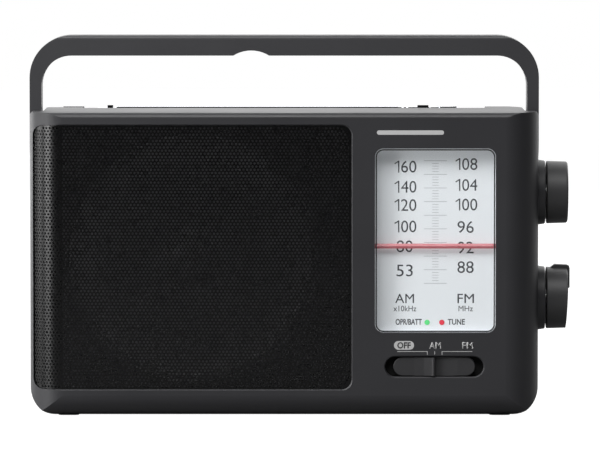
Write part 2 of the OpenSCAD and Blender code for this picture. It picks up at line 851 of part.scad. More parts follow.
module transformer_core() {
    color("#77797c") difference() {
        block([24, 60], [34.5, 52.5], [44, 80]);
        block([30, 54], [30, 60], [50, 58]);
        block([30, 54], [30, 60], [66, 74]);
    }
}

module transformer_coil() {
    color("#d9b24c") difference() {
        block([30.1, 53.9], [29.5, 57], [50.1, 73.9]);
        block([20, 70], [34.4, 52.6], [57.9, 66.1]);
    }
}

// ---------- sockets ----------

module ac_inlet() {
    color("#1b1b1d") difference() {
        union() {
            block([inlet_x - 10.8, inlet_x + 10.8], [body_d - wall - 1, body_d], [inlet_z - 6.3, inlet_z + 6.3]);
            block([inlet_x - 12, inlet_x + 12], [body_d - 17, body_d - wall - 0.05], [inlet_z - 7, inlet_z + 7]);
        }
        front_extrude(body_d - 12, body_d + 1) {
            for (s = [-1, 1]) translate([inlet_x + s * inlet_pin_gap / 2, inlet_z]) circle(3.9);
            translate([inlet_x, inlet_z]) square([inlet_pin_gap, 6], center = true);
        }
        for (s = [-1, 1]) along_y(inlet_x + s * inlet_pin_gap / 2, body_d - 20, body_d - 11, inlet_z, 1.2);
    }
}

module ac_pins() {
    color("#c9cbcd") for (s = [-1, 1])
        along_y(inlet_x + s * inlet_pin_gap / 2, body_d - 20, body_d - 3.2, inlet_z, 1.18);
}

module headphone_jack() {
    color("#1b1b1d") difference() {
        union() {
            along_x(-half_w, -half_w + wall + 0.5, jack_y, jack_z, 3.1);
            block([-half_w + wall + 0.1, -half_w + wall + 14], [jack_y - 5, jack_y + 5], [jack_z - 5, jack_z + 5]);
        }
        along_x(-half_w - 1, -half_w + jack_depth, jack_y, jack_z, jack_bore_r);
    }
}

// ---------- battery bay ----------

module battery_cells() {
    color("#caa24a") for (i = [0 : 2]) {
        x = cell_first + i * cell_len;
        along_x(x + 0.1, x + cell_len - 1.6, cell_y, cell_z, cell_r);
        along_x(x + cell_len - 1.7, x + cell_len, cell_y, cell_z, 3);
    }
}

// A conical spring wound by a loop: points on rings of the wire along the winding
spring_turns = 4;
spring_steps = 48;
spring_wire_r = 0.5;
spring_sides = 6;
spring_x = [-79.2, -72.5];
spring_r = [8.5, 4.5];

function spring_point(i) =
    let (t = i / spring_steps, a = 360 * spring_turns * t, r = spring_r[0] + (spring_r[1] - spring_r[0]) * t)
    [spring_x[0] + (spring_x[1] - spring_x[0]) * t, cell_y + r * cos(a), cell_z + r * sin(a)];

function spring_ring(i) =
    let (a = 360 * spring_turns * i / spring_steps)
    [for (j = [0 : spring_sides - 1]) let (b = 360 * j / spring_sides)
        spring_point(i) + spring_wire_r * [sin(b), cos(b) * cos(a), cos(b) * sin(a)]];

module spring() {
    n = spring_sides;
    polyhedron(
        points = [for (i = [0 : spring_steps]) each spring_ring(i)],
        faces = concat(
            [[for (j = [0 : n - 1]) j]],
            [for (i = [0 : spring_steps - 1], j = [0 : n - 1])
                [i * n + j, i * n + (j + 1) % n, (i + 1) * n + (j + 1) % n]],
            [for (i = [0 : spring_steps - 1], j = [0 : n - 1])
                [i * n + j, (i + 1) * n + (j + 1) % n, (i + 1) * n + j]],
            [[for (j = [n - 1 : -1 : 0]) spring_steps * n + j]]));
}

module battery_contacts() {
    color("#c9cbcd") {
        spring();
        block([78.2, 79], [cell_y - 9, cell_y + 9], [cell_z - 9, cell_z + 9]);
    }
}

module battery_door() {
    inner = body_d - 0.1 - door_t;
    color("#343437") difference() {
        union() {
            block([-bay_x + 0.3, bay_x - 0.3], [inner, body_d - 0.1], [door_hinge[1], bay_z[1] - 0.3]);
            along_x(-bay_x + 0.3, bay_x - 0.3, door_hinge[0], door_hinge[1], door_t / 2);
            along_x(-bay_x - 1, bay_x + 1, door_hinge[0], door_hinge[1], 0.85);
        }
        for (i = [0 : 4]) block([-12, 12], [body_d - 0.5, body_d + 1], [bay_z[1] - 9 + i * 1.5, bay_z[1] - 8.3 + i * 1.5]);
    }
}

// ---------- handle ----------

module handle() {
    notch_r = (notch_w * notch_w / 4 + notch_h * notch_h) / (2 * notch_h);
    color("#434346") difference() {
        intersection() {
            front_extrude(pivot_y - handle_d, pivot_y + handle_d) difference() {
                rounded(-handle_w / 2, handle_w / 2, shoulder_z, handle_top, [0, 0, handle_outer_r, handle_outer_r]);
                rounded(-arm_x, arm_x, shoulder_z - 5, handle_top - bar_t, [0, 0, handle_inner_r, handle_inner_r]);
                translate([notch_x, handle_top - bar_t + notch_h - notch_r]) circle(notch_r);
            }
            side_extrude(-handle_w, handle_w) union() {
                translate([pivot_y, pivot_z]) circle(handle_d / 2);
                rounded(pivot_y - handle_d / 2, pivot_y + handle_d / 2, pivot_z, handle_top,
                    [0, 0, handle_edge_r, handle_edge_r]);
            }
        }
        along_x(-handle_w, handle_w, pivot_y, pivot_z, pivot_pin_r + 0.06);
        for (s = [-1, 1]) along_x(s > 0 ? handle_w / 2 - pivot_head_t - 0.4 : -handle_w / 2 - 1,
            s > 0 ? handle_w / 2 + 1 : -handle_w / 2 + pivot_head_t + 0.4, pivot_y, pivot_z, pivot_head_r + 0.3);
    }
}

module handle_pivots() {
    outer = handle_w / 2 - 0.1;
    color("#2a2a2c") for (s = [-1, 1]) {
        along_x(s > 0 ? shoulder_x - 6.5 : -outer + pivot_head_t - 0.2,
            s > 0 ? outer - pivot_head_t + 0.2 : -shoulder_x + 6.5, pivot_y, pivot_z, pivot_pin_r);
        along_x(s > 0 ? outer - pivot_head_t : -outer, s > 0 ? outer : -outer + pivot_head_t,
            pivot_y, pivot_z, pivot_head_r);
    }
}

module handle_washers() {
    color("#d9d7d0") for (s = [-1, 1]) turned_x(pivot_y, pivot_z)
        ring_profile(pivot_pin_r + 0.1, 5.4, s > 0 ? shoulder_x + 0.02 : -shoulder_x - shoulder_gap + 0.3,
            s > 0 ? shoulder_x + shoulder_gap - 0.3 : -shoulder_x - 0.02);
}

// ---------- antenna ----------

module antenna_base() {
    color("#c2c4c6") {
        difference() {
            along_z(turret_x, antenna_y, channel_z + 0.3, antenna_z + 2.6, turret_r);
            block([turret_x - 8, turret_x + 8], [antenna_y - tongue_t / 2 - 0.12, antenna_y + tongue_t / 2 + 0.12],
                [antenna_z - tongue_r - 0.5, antenna_z + 8]);
        }
        along_z(turret_x, antenna_y, channel_z - wall - 3, channel_z + 0.4, stem_r);
        along_z(turret_x, antenna_y, channel_z - wall - 2.6, channel_z - wall - 0.3, 3.2);
        along_y(turret_x, antenna_y - turret_r + 0.2, antenna_y + turret_r - 0.2, antenna_z, 0.9);
    }
}

module antenna_fitting() {
    color("#d0d2d4") difference() {
        union() {
            along_y(turret_x, antenna_y - tongue_t / 2, antenna_y + tongue_t / 2, antenna_z, tongue_r);
            block([56, turret_x], [antenna_y - tongue_t / 2, antenna_y + tongue_t / 2],
                [antenna_z - tongue_r, antenna_z + tongue_r]);
            turned_x(antenna_y, antenna_z) difference() {
                union() {
                    rounded(0, collar_r, tube_start + 0.02, 58, [0, 0, 0.8, 0]);
                    ring_profile(0, tube_r - tube_wall - 0.02, tube_start - 4, tube_start + 1);
                }
                for (x = [46.4, 48.2]) ring_profile(collar_r - 0.4, collar_r + 1, x, x + 0.8);
            }
        }
        along_y(turret_x, antenna_y - 3, antenna_y + 3, antenna_z, 0.98);
    }
}

function stage_r(n) = tube_r - (n - 1) * (tube_wall + tube_gap);
function stage_end(n) = tube_end - (n - 1) * 0.4;
function stage_start(n) = n == 1 ? tube_start : tube_start - 3.2 - n * 1.2;

module antenna_stage(n) {
    color("#d8dadc") turned_x(antenna_y, antenna_z)
        ring_profile(stage_r(n) - tube_wall, stage_r(n), stage_end(n), stage_start(n));
}

module antenna_tube_1() {
    antenna_stage(1);
}

module antenna_tube_2() {
    antenna_stage(2);
}

module antenna_tube_3() {
    antenna_stage(3);
}

module antenna_tube_4() {
    antenna_stage(4);
}

module antenna_tip() {
    color("#d8dadc") {
        along_x(tip_end + 3, stage_start(5), antenna_y, antenna_z, stage_r(5));
        turned_x(antenna_y, antenna_z) rounded(0, tip_r, tip_end, stage_end(5) + 0.1, [0, 1.2, 0.3, 0]);
    }
}

module antenna_rest(x, r) {
    block(x, [antenna_y - r - 1.6, antenna_y + r], [channel_z + 0.02, antenna_z - r - 0.3]);
    block(x, [antenna_y - r - 1.6, antenna_y - r - 0.3], [channel_z + 0.02, top_z + 0.8]);
}

module antenna_rests() {
    color("#111112") {
        antenna_rest(rest_left, stage_r(2));
        antenna_rest(rest_right, collar_r);
    }
}

// ---------- wiring ----------

module wiring() {
    color("#a83232") {
        wire([[19, 24.3, 70], [12, 27, 69], [2, 26.5, 62], [-9.4, 23, 61]], 0.5);
        wire([[19, 24.3, 74], [12, 27, 75], [2, 26.5, 67], [-9.4, 23, 65]], 0.5);
        wire([[64.5, 50, 105.2], [64.5, 42, 102], [60, 30, 99], [56, 28, 93.5]], 0.5);
        wire([[66.5, 41.6, 47], [65, 38, 50], [61.2, 38, 54]], 0.5);
    }
}

// ---------- the nodes ----------

translate([-origin_x, -origin_y, 0]) {
    front_case();
    rear_case();
    knob_collars();
    speaker_grille();
    dial_lens();
    dial_plate();
    dial_pointer();
    pointer_carriage();
    guide_rod();
    tuning_bracket();
    tuning_knob();
    tuning_spindle();
    cord_drum();
    dial_cord();
    pulley_top();
    pulley_bottom();
    tuning_capacitor();
    volume_knob();
    volume_shaft();
    volume_control();
    band_switch_cap();
    band_switch();
    switch_board();
    led_green();
    led_red();
    main_board();
    board_components();
    ferrite_rod();
    ferrite_coil();
    ferrite_holders();
    transformer_core();
    transformer_coil();
    ac_inlet();
    ac_pins();
    headphone_jack();
    speaker_gasket();
    speaker_frame();
    speaker_cone();
    speaker_surround();
    voice_coil();
    speaker_magnet();
    speaker_yoke();
    speaker_screws();
    battery_cells();
    battery_contacts();
    battery_door();
    handle();
    handle_pivots();
    handle_washers();
    antenna_base();
    antenna_fitting();
    antenna_tube_1();
    antenna_tube_2();
    antenna_tube_3();
    antenna_tube_4();
    antenna_tip();
    antenna_rests();
    rubber_feet();
    case_screws();
    wiring();
}
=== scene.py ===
"""Portable two-band radio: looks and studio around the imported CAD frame. Lengths are written in
millimetres in the case's own axes (X right of its middle, Y back from its face, Z up from the table)
and turned into the frame's metres by at()."""
import math

import bmesh
import bpy
import numpy as np
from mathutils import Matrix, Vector
from mathutils.geometry import delaunay_2d_cdt


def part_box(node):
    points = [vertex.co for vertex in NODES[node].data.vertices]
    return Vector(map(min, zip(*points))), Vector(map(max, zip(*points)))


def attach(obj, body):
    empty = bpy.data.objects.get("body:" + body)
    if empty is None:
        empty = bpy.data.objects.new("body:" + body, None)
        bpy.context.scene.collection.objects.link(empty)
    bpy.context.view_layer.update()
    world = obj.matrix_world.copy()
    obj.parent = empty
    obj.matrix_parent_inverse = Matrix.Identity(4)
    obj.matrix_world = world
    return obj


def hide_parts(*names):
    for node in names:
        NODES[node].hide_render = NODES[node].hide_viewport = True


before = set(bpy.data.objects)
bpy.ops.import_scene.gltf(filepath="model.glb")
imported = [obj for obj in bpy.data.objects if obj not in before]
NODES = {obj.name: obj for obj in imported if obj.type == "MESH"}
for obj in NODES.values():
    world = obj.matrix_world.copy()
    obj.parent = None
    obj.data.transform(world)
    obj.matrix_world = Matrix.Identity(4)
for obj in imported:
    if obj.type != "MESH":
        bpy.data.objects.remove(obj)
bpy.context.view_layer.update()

MM = 0.001
PRINT_T = 0.03            # thickness of a print
CAM_DIST, CAM_Z = 2200.0, 220.0
LOOK_Z = 74.75            # the height on the front face that the camera is aimed at
rear_lo, rear_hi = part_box("rear_case")
front_lo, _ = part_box("front_case")
CX = (rear_lo.x + rear_hi.x) / 2
FY = front_lo.y


def at(x, y, z):
    return Vector((CX + x * MM, FY + y * MM, z * MM))


# ---------- materials ----------

def new_material(name):
    mat = bpy.data.materials.new(name)
    mat.use_nodes = True
    nt = mat.node_tree
    nt.nodes.clear()
    out = nt.nodes.new("ShaderNodeOutputMaterial")
    bsdf = nt.nodes.new("ShaderNodeBsdfPrincipled")
    nt.links.new(bsdf.outputs["BSDF"], out.inputs["Surface"])
    return mat, nt, bsdf, out


def noise(nt, coords, scale, detail=2.0, rough=0.5):
    n = nt.nodes.new("ShaderNodeTexNoise")
    n.inputs["Scale"].default_value = scale
    n.inputs["Detail"].default_value = detail
    n.inputs["Roughness"].default_value = rough
    nt.links.new(coords, n.inputs["Vector"])
    return n.outputs["Fac"]


def ramp(nt, fac, lo, hi, p0=0.3, p1=0.7):
    r = nt.nodes.new("ShaderNodeMapRange")
    r.inputs["From Min"].default_value = p0
    r.inputs["From Max"].default_value = p1
    r.inputs["To Min"].default_value = lo
    r.inputs["To Max"].default_value = hi
    nt.links.new(fac, r.inputs["Value"])
    return r.outputs["Result"]


def colour_mix(nt, fac, a, b):
    m = nt.nodes.new("ShaderNodeMix")
    m.data_type = "RGBA"
    m.inputs["A"].default_value = (*a, 1)
    m.inputs["B"].default_value = (*b, 1)
    nt.links.new(fac, m.inputs["Factor"])
    return m.outputs["Result"]


def bump(nt, bsdf, height, strength, distance):
    b = nt.nodes.new("ShaderNodeBump")
    b.inputs["Strength"].default_value = strength
    b.inputs["Distance"].default_value = distance
    nt.links.new(height, b.inputs["Height"])
    nt.links.new(b.outputs["Normal"], bsdf.inputs["Normal"])


def object_coords(nt):
    return nt.nodes.new("ShaderNodeTexCoord").outputs["Object"]


DRIFT_GAIN = 6            # colour drift of a plastic, per unit of its vary value
GLOSS_DRIFT = 0.035       # how far a plastic's roughness drifts either way


def plastic(name, base, rough, grain=0.00025, grain_depth=0.00001, vary=0.012, spec=0.5):
    """Moulded plastic: a fine grain, a slow drift of gloss and a faint drift of colour."""
    mat, nt, bsdf, _ = new_material(name)
    c = object_coords(nt)
    fine = noise(nt, c, 1 / grain, 3, 0.6)
    slow = noise(nt, c, 22, 3, 0.55)
    dark = tuple(v * (1 - vary * DRIFT_GAIN) for v in base)
    light = tuple(v * (1 + vary * DRIFT_GAIN) for v in base)
    nt.links.new(colour_mix(nt, slow, dark, light), bsdf.inputs["Base Color"])
    nt.links.new(ramp(nt, slow, rough - GLOSS_DRIFT, rough + GLOSS_DRIFT), bsdf.inputs["Roughness"])
    bsdf.inputs["Specular IOR Level"].default_value = spec
    bump(nt, bsdf, fine, 0.35, grain_depth)
    return mat


def metal(name, base, rough, scratch=0.04, scale=900, stretch=(1, 1, 1)):
    """Bare metal whose gloss varies along fine marks; stretch sets the direction they run in."""
    mat, nt, bsdf, _ = new_material(name)
    m = nt.nodes.new("ShaderNodeMapping")
    m.inputs["Scale"].default_value = stretch
    nt.links.new(object_coords(nt), m.inputs["Vector"])
    n = noise(nt, m.outputs["Vector"], scale, 2, 0.6)
    bsdf.inputs["Base Color"].default_value = (*base, 1)
    bsdf.inputs["Metallic"].default_value = 1.0
    nt.links.new(ramp(nt, n, max(rough - scratch, 0.02), rough + scratch), bsdf.inputs["Roughness"])
    bump(nt, bsdf, n, 0.06, 0.00001)
    return mat


def ink_and_painted_shade(name, base, rough=0.45):
    """Screen-printed ink, with slightly uneven coverage; it also makes the near-black painted shade of the
    gap round the window.
    """
    mat, nt, bsdf, _ = new_material(name)
    n = noise(nt, object_coords(nt), 4200, 2, 0.6)
    thin, thick = tuple(v * 0.93 for v in base), tuple(min(v * 1.06, 1) for v in base)
    nt.links.new(colour_mix(nt, n, thin, thick), bsdf.inputs["Base Color"])
    bsdf.inputs["Roughness"].default_value = rough
    return mat


def paint(node, mat):
    obj = NODES[node]
    obj.data.materials.clear()
    obj.data.materials.append(mat)
    for p in obj.data.polygons:
        p.material_index = 0


CASE = plastic("case_plastic", (0.0255, 0.0255, 0.0285), 0.46)
HANDLE = plastic("handle_plastic", (0.035, 0.035, 0.038), 0.48)
KNOB = plastic("knob_plastic", (0.046, 0.046, 0.0475), 0.46, grain=0.0002, grain_depth=0.000006,
               spec=0.4)
CAP = plastic("switch_plastic", (0.03, 0.03, 0.032), 0.42, grain=0.0002, grain_depth=0.000006)
DOOR = plastic("door_plastic", (0.023, 0.023, 0.025), 0.5)
BLACK = plastic("socket_plastic", (0.006, 0.006, 0.0065), 0.3, grain=0.0004, grain_depth=0.000004)
RUBBER = plastic("rubber", (0.006, 0.006, 0.006), 0.75, grain=0.0005, grain_depth=0.00002, spec=0.3)
FOAM = plastic("foam", (0.01, 0.01, 0.01), 0.9, grain=0.0006, grain_depth=0.0001, spec=0.2)
DIAL = plastic("dial_face", (0.86, 0.885, 0.915), 0.55, grain=0.0006, grain_depth=0.000003, vary=0.002)
# painted glow: the dial face gives off a faint light of its own, which lifts the shade that the window's
# walls cast on it
dial_glow_bsdf = DIAL.node_tree.nodes["Principled BSDF"]
dial_glow_bsdf.inputs["Emission Color"].default_value = (0.95, 0.97, 1, 1)
dial_glow_bsdf.inputs["Emission Strength"].default_value = 0.095
NYLON = plastic("nylon", (0.62, 0.61, 0.57), 0.5, grain=0.0005, grain_depth=0.000006, vary=0.008)
PAPER = plastic("cone_paper", (0.035, 0.035, 0.036), 0.85, grain=0.0009, grain_depth=0.00008, spec=0.25)
BOARD = plastic("board_mask", (0.02, 0.12, 0.05), 0.3, grain=0.002, grain_depth=0.00001)
FERRITE = plastic("ferrite", (0.045, 0.042, 0.04), 0.55, grain=0.0003, grain_depth=0.00002)
TAPE = plastic("winding_tape", (0.65, 0.4, 0.08), 0.35, grain=0.003, grain_depth=0.00004)
CAPACITOR = plastic("capacitor_plastic", (0.5, 0.55, 0.57), 0.3, grain=0.001, grain_depth=0.000005)
WIRE = plastic("wire_insulation", (0.4, 0.03, 0.03), 0.4, grain=0.001, grain_depth=0.000005)
CELL = metal("cell_wrap", (0.55, 0.35, 0.1), 0.28)
CHROME = metal("antenna_chrome", (0.78, 0.79, 0.81), 0.09, 0.03, 1500, (1, 8, 8))
STEEL = metal("plated_steel", (0.56, 0.56, 0.57), 0.3)
CORE = metal("core_steel", (0.25, 0.25, 0.26), 0.5, 0.08, 2500, (1, 1, 12))
COPPER = metal("copper_wire", (0.7, 0.3, 0.12), 0.3, 0.05, 3000, (10, 1, 1))
BASKET = metal("basket_steel", (0.42, 0.43, 0.44), 0.45)

FINISHES = [
    (CASE, "front_case rear_case knob_collars"),
    (DOOR, "battery_door"),
    (HANDLE, "handle"),
    (KNOB, "tuning_knob volume_knob handle_pivots"),
    (CAP, "band_switch_cap"),
    (BLACK, "ac_inlet headphone_jack antenna_rests"),
    (RUBBER, "rubber_feet"),
    (FOAM, "speaker_gasket speaker_surround"),
    (DIAL, "dial_plate"),
    (NYLON, "handle_washers pointer_carriage cord_drum pulley_top pulley_bottom ferrite_holders"),
    (PAPER, "speaker_cone"),
    (BOARD, "main_board switch_board"),
    (FERRITE, "ferrite_rod speaker_magnet"),
    (TAPE, "transformer_coil"),
    (CAPACITOR, "tuning_capacitor"),
    (WIRE, "wiring"),
    (CELL, "battery_cells"),
    (CHROME, "antenna_base antenna_fitting antenna_tube_1 antenna_tube_2 antenna_tube_3 antenna_tube_4"
             " antenna_tip"),
    (STEEL, "guide_rod tuning_bracket tuning_spindle volume_shaft band_switch speaker_yoke speaker_screws"
            " case_screws battery_contacts ac_pins volume_control board_components"),
    (CORE, "transformer_core"),
    (COPPER, "ferrite_coil voice_coil"),
    (BASKET, "speaker_frame"),
]
for mat, names in FINISHES:
    for node in names.split():
        paint(node, mat)

cord_mat, nt, bsdf, _ = new_material("cord_thread")
bsdf.inputs["Roughness"].default_value = 0.85
strands = noise(nt, object_coords(nt), 3000, 2)
nt.links.new(colour_mix(nt, strands, (0.42, 0.4, 0.34), (0.6, 0.58, 0.5)), bsdf.inputs["Base Color"])
paint("dial_cord", cord_mat)

# clear window: light goes straight through, and only its outward faces reflect
lens_mat, nt, bsdf, out = new_material("lens_clear")
clear = nt.nodes.new("ShaderNodeBsdfTransparent")
clear.inputs["Color"].default_value = (0.985, 0.99, 0.99, 1)
gloss = nt.nodes.new("ShaderNodeBsdfGlossy")
gloss.inputs["Roughness"].default_value = 0.04
mix = nt.nodes.new("ShaderNodeMixShader")
fres = nt.nodes.new("ShaderNodeFresnel")
fres.inputs["IOR"].default_value = 1.35
front = nt.nodes.new("ShaderNodeMath")
front.operation = "SUBTRACT"
front.inputs[0].default_value = 1.0
nt.links.new(nt.nodes.new("ShaderNodeNewGeometry").outputs["Backfacing"], front.inputs[1])
both = nt.nodes.new("ShaderNodeMath")
both.operation = "MULTIPLY"
nt.links.new(fres.outputs["Fac"], both.inputs[0])
nt.links.new(front.outputs["Value"], both.inputs[1])
nt.links.new(both.outputs["Value"], mix.inputs["Fac"])
nt.links.new(clear.outputs["BSDF"], mix.inputs[1])
nt.links.new(gloss.outputs["BSDF"], mix.inputs[2])
nt.links.new(mix.outputs["Shader"], out.inputs["Surface"])
nt.nodes.remove(bsdf)
paint("dial_lens", lens_mat)

# translucent red bar of the pointer, with a faint painted glow of its own
red_mat, nt, bsdf, _ = new_material("pointer_red")
bsdf.inputs["Base Color"].default_value = (0.66, 0.17, 0.2, 1)
bsdf.inputs["Roughness"].default_value = 0.25
bsdf.inputs["Alpha"].default_value = 0.74
# painted glow: the bar emits a little red light that stands for the lamp's light falling on it
bsdf.inputs["Emission Color"].default_value = (0.7, 0.2, 0.24, 1)
bsdf.inputs["Emission Strength"].default_value = 0.06
bump(nt, bsdf, noise(nt, object_coords(nt), 600, 2), 0.05, 0.00002)
paint("dial_pointer", red_mat)


def lamp(name, base, glow, power):
    """A lit indicator's diffused plastic."""
    mat, nt, bsdf, _ = new_material(name)
    bsdf.inputs["Base Color"].default_value = (*base, 1)
    bsdf.inputs["Roughness"].default_value = 0.25
    bsdf.inputs["Emission Color"].default_value = (*glow, 1)
    bsdf.inputs["Emission Strength"].default_value = power
    bump(nt, bsdf, noise(nt, object_coords(nt), 2500, 2), 0.05, 0.00001)
    return mat


paint("led_green", lamp("led_green", (0.12, 0.6, 0.2), (0.12, 0.75, 0.25), 0.38))
paint("led_red", lamp("led_red", (0.7, 0.05, 0.08), (0.8, 0.06, 0.1), 0.3))

PRINT_DARK = ink_and_painted_shade("print_grey", (0.06, 0.064, 0.072))
PRINT_PALE = ink_and_painted_shade("print_pale", (0.42, 0.44, 0.47))
PRINT_LIGHT = ink_and_painted_shade("print_light", (0.5, 0.5, 0.5))
# painted shade: a near-black coat that stands for the dark gap between the lens and the case
GAP_SHADE_INK = ink_and_painted_shade("gap_shade_black", (0.002, 0.002, 0.0025), 0.8)
PRINT_BLACK = ink_and_painted_shade("print_black", (0.02, 0.02, 0.022))

# ---------- helpers for new pieces ----------


def mesh_piece(name, verts, faces, mat, smooth=False):
    """A new piece that stays with the case."""
    me = bpy.data.meshes.new(name)
    me.from_pydata([tuple(v) for v in verts], [], [tuple(int(i) for i in f) for f in faces])
    me.update()
    me.materials.append(mat)
    if smooth:
        me.polygons.foreach_set("use_smooth", [True] * len(me.polygons))
    obj = bpy.data.objects.new(name, me)
    bpy.context.scene.collection.objects.link(obj)
    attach(obj, "case")
    return obj


def slabs(name, rects, y, mat):
    """Thin printed bars. rects are (x0, x1, z0, z1) and y is the face that they are printed on."""
    verts, faces = [], []
    for x0, x1, z0, z1 in rects:
        b = len(verts)
        for yy in (y - PRINT_T, y):
            verts += [at(x0, yy, z0), at(x1, yy, z0), at(x1, yy, z1), at(x0, yy, z1)]
        faces += [(b, b + 1, b + 2, b + 3), (b + 7, b + 6, b + 5, b + 4)]
        for i in range(4):
            j = (i + 1) % 4
            faces.append((b + i, b + 4 + i, b + 4 + j, b + j))
    mesh_piece(name, verts, faces, mat)


def outline_slab(name, pts, y, t, mat):
    """A flat plate with the outline pts, as (x, z), that stands t in front of y."""
    n = len(pts)
    verts = [at(x, y - t, z) for x, z in pts] + [at(x, y, z) for x, z in pts]
    faces = [tuple(range(n)), tuple(range(2 * n - 1, n - 1, -1))]
    faces += [(i, n + i, n + (i + 1) % n, (i + 1) % n) for i in range(n)]
    mesh_piece(name, verts, faces, mat)


def stadium(x, z, w, h, n=12):
    """Outline of a bar with round ends, centred on x, z."""
    r = h / 2
    pts = []
    for s, start in ((1, -90), (-1, 90)):
        for i in range(n + 1):
            a = math.radians(start + 180 * i / n)
            pts.append((x + s * (w / 2 - r) + r * math.cos(a), z + r * math.sin(a)))
    return pts


def lettering(name, text, x, z, height, width, y, mat, weight):
    """Printed characters centred on x, z on the face y, fitted to a height and a width."""
    cu = bpy.data.curves.new(name, "FONT")
    cu.body = text
    cu.size = 1.0
    cu.offset = weight
    cu.resolution_u = 4
    tmp = bpy.data.objects.new(name + "_t", cu)
    bpy.context.scene.collection.objects.link(tmp)
    bpy.context.view_layer.update()
    me = bpy.data.meshes.new_from_object(tmp.evaluated_get(bpy.context.evaluated_depsgraph_get()))
    bpy.data.objects.remove(tmp)
    bpy.data.curves.remove(cu)
    co = np.array([v.co[:] for v in me.vertices])
    lo, hi = co.min(0), co.max(0)
    sx, sz = width / (hi[0] - lo[0]), height / (hi[1] - lo[1])
    mid_x, mid_z = (lo[0] + hi[0]) / 2, (lo[1] + hi[1]) / 2
    for v in me.vertices:
        v.co = at(x + (v.co.x - mid_x) * sx, y - PRINT_T, z + (v.co.y - mid_z) * sz)
    bm = bmesh.new()
    bm.from_mesh(me)
    bmesh.ops.remove_doubles(bm, verts=bm.verts, dist=1e-7)
    for f in bm.faces:
        if f.normal.y > 0:
            f.normal_flip()
    geo = bmesh.ops.extrude_face_region(bm, geom=bm.faces[:])
    for v in geo["geom"]:
        if isinstance(v, bmesh.types.BMVert):
            v.co.y += PRINT_T * MM
    bmesh.ops.recalc_face_normals(bm, faces=bm.faces)
    bm.to_mesh(me)
    bm.free()
    me.materials.clear()
    me.materials.append(mat)
    obj = bpy.data.objects.new(name, me)
    bpy.context.scene.collection.objects.link(obj)
    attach(obj, "case")


# ---------- dial print ----------

DIAL_Y = 5.6
AM = [("160", 97.4), ("140", 89.6), ("120", 82.5), ("100", 74.2), ("80", 66.5), ("53", 57.1)]
FM = [("108", 98.4), ("104", 90.3), ("100", 82.7), ("96", 74.0), ("92", 66.0), ("88", 58.4)]
DEPTH = (CAM_DIST + DIAL_Y) / CAM_DIST


def on_dial(x, z):
    """A place given as it is seen on the front plane, carried back to the dial's depth."""
    return x * DEPTH, CAM_Z + (z - CAM_Z) * DEPTH


def dial_text(name, text, x, z, height, width, weight=0.0):
    dx, dz = on_dial(x, z)
    lettering("dial_" + name, text, dx, dz, height, width, DIAL_Y, PRINT_DARK, weight)


def dial_one(name, x, z):
    """The flagged digit one, left of the two other digits of a three-digit mark centred on x."""
    pts = [(-2.1, -2.3), (-2.1, 2.3), (-2.52, 2.3), (-4.0, 1.3), (-3.8, 0.95), (-2.58, 1.72), (-2.55, -2.3)]
    outline_slab(name, [on_dial(x + a, z + b) for a, b in pts], DIAL_Y, PRINT_T, PRINT_DARK)


DIGIT_H = 4.6
PAIR_W, PAIR_SHIFT = 5.9, 1.55      # the last two digits of a three-digit mark
SHORT_W = 6.3                       # a two-digit mark
for side, x, marks in (("am", 46.7, AM), ("fm", 70.3, FM)):
    for text, z in marks:
        label = "%s_%s" % (side, text)
        if len(text) == 3:
            dial_one("dial_%s_one" % label, x, z)
            dial_text(label, text[1:], x + PAIR_SHIFT, z, DIGIT_H, PAIR_W, -0.002)
        else:
            dial_text(label, text, x, z, DIGIT_H, SHORT_W, -0.002)
dial_text("am", "AM", 46.7, 46.2, 3.6, 7.3)
dial_text("fm", "FM", 70.4, 46.2, 3.6, 6.4)
dial_text("khz", "x10kHz", 46.8, 42.3, 2.2, 8.9)
dial_text("mhz", "MHz", 70.4, 42.3, 2.1, 5.6)
dial_text("operate", "OPR/BATT", 48.3, 37.1, 2.35, 10.2, 0.022)
dial_text("tune", "TUNE", 66.75, 37.1, 2.25, 6.7, 0.022)

LONG_TICKS, LONG_STEP, SHORT_STEP = 10, 5.29 * DEPTH, 1.058 * DEPTH
LONG_HALF, SHORT_HALF = 4.45, 1.25
ruler_x, ruler_top = on_dial(58.6, 99.7)
ticks = []
for i in range(LONG_TICKS):
    z = ruler_top - i * LONG_STEP
    ticks.append((ruler_x - LONG_HALF, ruler_x + LONG_HALF, z - 0.08, z + 0.08))
    if i < LONG_TICKS - 1:
        for k in range(1, 5):
            zz = z - k * SHORT_STEP
            ticks.append((ruler_x - SHORT_HALF, ruler_x + SHORT_HALF, zz - 0.07, zz + 0.07))
slabs("dial_ruler", ticks, DIAL_Y, PRINT_PALE)

# ---------- switch legends ----------

outline_slab("legend_off_pill", stadium(46.5, 27.95, 7.8, 3.4), 0.0, PRINT_T, PRINT_LIGHT)
lettering("legend_off", "OFF", 46.5, 27.95, 2.5, 5.2, -PRINT_T, PRINT_BLACK, 0.03)
lettering("legend_am", "AM", 58.6, 27.9, 2.6, 4.6, 0.0, PRINT_LIGHT, 0.014)
lettering("legend_fm", "FM", 71.2, 27.9, 2.6, 4.2, 0.0, PRINT_LIGHT, 0.014)
slabs("legend_lines", [(43.9, 55.65, 25.45, 25.65), (55.45, 55.65, 24.3, 25.45), (58.3, 58.5, 24.4, 25.65),
                       (61.2, 61.4, 24.2, 25.45), (61.2, 73.0, 25.45, 25.65)], 0.0, PRINT_LIGHT)

# ---------- window border, painted shade of the gap round the lens, and trim ---

W_LO, W_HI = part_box("dial_lens")
w_x0, w_x1 = (W_LO.x - CX) / MM, (W_HI.x - CX) / MM
w_z0, w_z1 = W_LO.z / MM, W_HI.z / MM
LENS_Y = (W_LO.y - FY) / MM
BORDER_W, BORDER_T = 0.5, 0.02
WINDOW_R, BORDER_R = 2.97, 2.5      # corners of the window and of the border's inner edge


